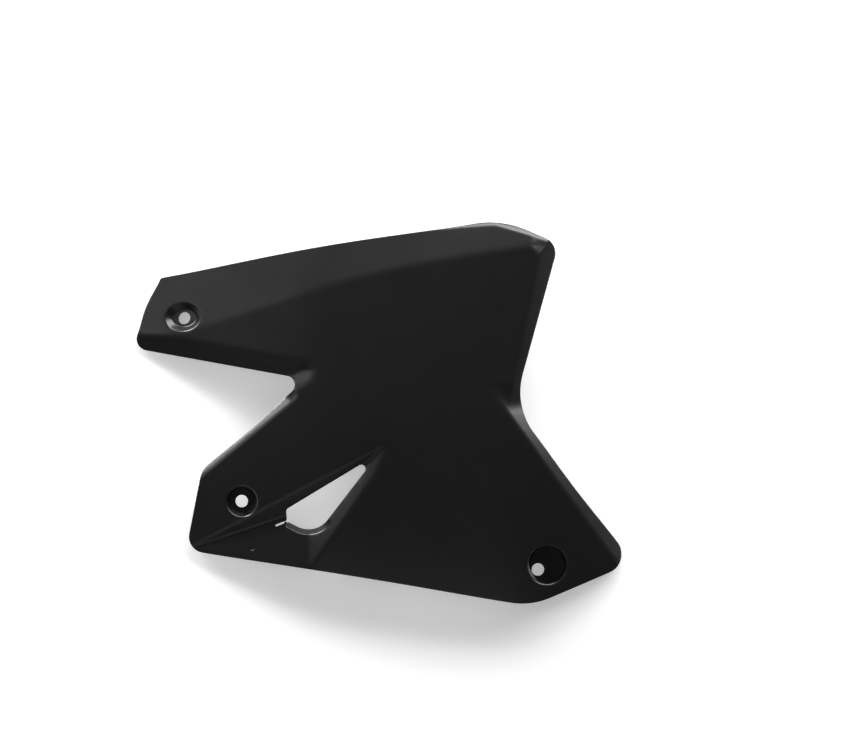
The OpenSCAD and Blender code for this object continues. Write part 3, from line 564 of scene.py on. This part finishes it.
# The edges of the rim and of the vent have a small round break, and those of the holes a smaller one
EDGE_BREAK, HOLE_BREAK = 0.7, 0.4
EDGE_ANGLE = 60
shell = bmesh.new()
shell.from_mesh(skin.data)
weight = shell.edges.layers.float.new("bevel_weight_edge")
hole_plan = [(cup.x + cup.hole_shift[0], cup.y + cup.hole_shift[1]) for cup in CUPS]
hole_middles = [Vector(p).to_2d() for p in placed(hole_plan, [0] * len(CUPS))]
for edge in shell.edges:
    if edge.calc_face_angle(0) > math.radians(EDGE_ANGLE):
        middle_of_edge = (edge.verts[0].co + edge.verts[1].co).to_2d() / 2
        at_hole = any((middle_of_edge - m).length < (HOLE_R + 1) * MM for m in hole_middles)
        edge[weight] = HOLE_BREAK / EDGE_BREAK if at_hole else 1
shell.to_mesh(skin.data)
shell.free()
edge_round = skin.modifiers.new("rounded_rim", "BEVEL")
edge_round.width = EDGE_BREAK * MM
edge_round.segments = 4
edge_round.limit_method = "WEIGHT"
bpy.ops.object.modifier_apply(modifier="rounded_rim")
bpy.ops.object.shade_smooth()

# Black moulded plastic
# Polypropylene coloured black in the mass and moulded against a finely blasted steel face. It has a satin gloss: lamps
# show as soft patches with blurred edges, flats look nearly black, and the gloss varies a little from place to place.
GRAIN_MM, GRAIN_DEPTH_MM, CLOUD_MM = 1.1, 0.1, 70
GLOSSIEST, DULLEST = 0.27, 0.33


def srgb(hex_code):
    """Linear colour of an sRGB hex value."""
    parts = [int(hex_code[i : i + 2], 16) / 255 for i in (1, 3, 5)]
    return (*(c / 12.92 if c <= 0.04045 else ((c + 0.055) / 1.055) ** 2.4 for c in parts), 1)


def add(node_tree, kind, settings=None, links=None, **props):
    """Adds a node, sets its properties and input values, and links its inputs."""
    node = node_tree.nodes.new(kind)
    for name, value in props.items():
        setattr(node, name, value)
    for name, value in (settings or {}).items():
        node.inputs[name].default_value = value
    for name, source in (links or {}).items():
        node_tree.links.new(source, node.inputs[name])
    return node


polypropylene = bpy.data.materials.new("black moulded polypropylene")
polypropylene.use_nodes = True
nt = polypropylene.node_tree
nt.nodes.clear()
place = add(nt, "ShaderNodeTexCoord").outputs["Object"]
cloud = add(nt, "ShaderNodeTexNoise", {"Scale": 1 / (CLOUD_MM * MM), "Detail": 4, "Roughness": 0.55}, {"Vector": place})
grain = add(nt, "ShaderNodeTexNoise", {"Scale": 1 / (GRAIN_MM * MM), "Detail": 3, "Roughness": 0.6}, {"Vector": place})
rough = add(
    nt,
    "ShaderNodeMapRange",
    {"From Min": 0.3, "From Max": 0.7, "To Min": GLOSSIEST, "To Max": DULLEST},
    {"Value": cloud.outputs["Fac"]},
)
bump = add(nt, "ShaderNodeBump", {"Strength": 0.2, "Distance": GRAIN_DEPTH_MM * MM}, {"Height": grain.outputs["Fac"]})
shader = add(
    nt,
    "ShaderNodeBsdfPrincipled",
    {"Base Color": srgb("#111113"), "IOR": 1.49},
    {"Roughness": rough.outputs["Result"], "Normal": bump.outputs["Normal"]},
)
add(nt, "ShaderNodeOutputMaterial", links={"Surface": shader.outputs["BSDF"]})
skin.data.materials.clear()
skin.data.materials.append(polypropylene)

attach(skin, "root")
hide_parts("shroud")

# Studio
# A white sweep under the panel, lit by a ceiling panel, a key and two softboxes beyond the upper edge and two weak
# fills. The camera is straight above. The sweep glows a little, but only to the camera and in reflections.
FLOOR_M, FLOOR_GLOW, WORLD_GLOW = 8, 0.34, 0.1
bpy.ops.object.select_all(action="DESELECT")
bpy.ops.mesh.primitive_plane_add(size=FLOOR_M, location=(0, 0, 0))
floor = bpy.context.object
floor.name = "floor"
white = bpy.data.materials.new("white paper sweep")
white.use_nodes = True
ft = white.node_tree
ft.nodes.clear()
paper = add(ft, "ShaderNodeBsdfDiffuse", {"Color": srgb("#f6f6f6")})
ray = add(ft, "ShaderNodeLightPath").outputs
seen = ray["Is Camera Ray"]
for kind in ("Is Glossy Ray", "Is Transmission Ray"):
    seen = add(ft, "ShaderNodeMath", links={0: seen, 1: ray[kind]}, operation="MAXIMUM").outputs[0]
lift = add(ft, "ShaderNodeMath", {1: FLOOR_GLOW}, {0: seen}, operation="MULTIPLY")
glow = add(ft, "ShaderNodeEmission", {"Color": (1, 1, 1, 1)}, {"Strength": lift.outputs[0]})
both = add(ft, "ShaderNodeAddShader", links={0: paper.outputs[0], 1: glow.outputs[0]})
add(ft, "ShaderNodeOutputMaterial", links={"Surface": both.outputs[0]})
floor.data.materials.append(white)

LIGHT_FAR = 3.0
LIGHTS = (
    # Name, azimuth and elevation in degrees, width and height in metres, watts
    ("ceiling", 90, 58, 1.8, 1.1, 2.4),
    ("key", 88, 22, 1.3, 1.0, 54),
    ("softbox_right", 52, 18, 2.4, 1.5, 125),
    ("softbox_left", 131, 10, 1.7, 0.8, 165),
    ("fill_left", 165, 44, 1.2, 1.0, 7),
    ("fill_front", -100, 45, 2.2, 1.6, 5),
)
for name, azimuth, elevation, width, height, watts in LIGHTS:
    side, rise = heading(azimuth), heading(elevation)
    bpy.ops.object.light_add(
        type="AREA", location=(side.x * rise.x * LIGHT_FAR, side.y * rise.x * LIGHT_FAR, rise.y * LIGHT_FAR)
    )
    softbox = bpy.context.object
    softbox.name = name
    softbox.data.shape = "RECTANGLE"
    softbox.data.size, softbox.data.size_y = width, height
    softbox.data.energy = watts
    softbox.rotation_euler = (-softbox.location).to_track_quat("-Z", "Y").to_euler()

world = bpy.data.worlds.new("studio")
bpy.context.scene.world = world
world.use_nodes = True
sky = world.node_tree.nodes["Background"].inputs
sky["Color"].default_value = (1, 1, 1, 1)
sky["Strength"].default_value = WORLD_GLOW

# The picture's width and the place that the camera is over are in millimetres, and the heights in metres
PICTURE_WIDTH = 776.5
AIM = (45.2, 31.9)
CAMERA_UP, RIM_UP = 3.6, 0.012
SENSOR_MM = 36
lens = bpy.data.cameras.new("camera")
camera = bpy.data.objects.new("camera", lens)
bpy.context.collection.objects.link(camera)
camera.location = (AIM[0] * MM, AIM[1] * MM, CAMERA_UP)
lens.sensor_width = SENSOR_MM
lens.lens = SENSOR_MM * (CAMERA_UP - RIM_UP) / (PICTURE_WIDTH * MM)
lens.clip_end = 50
bpy.context.scene.camera = camera
bpy.context.scene.view_settings.view_transform = "Standard"
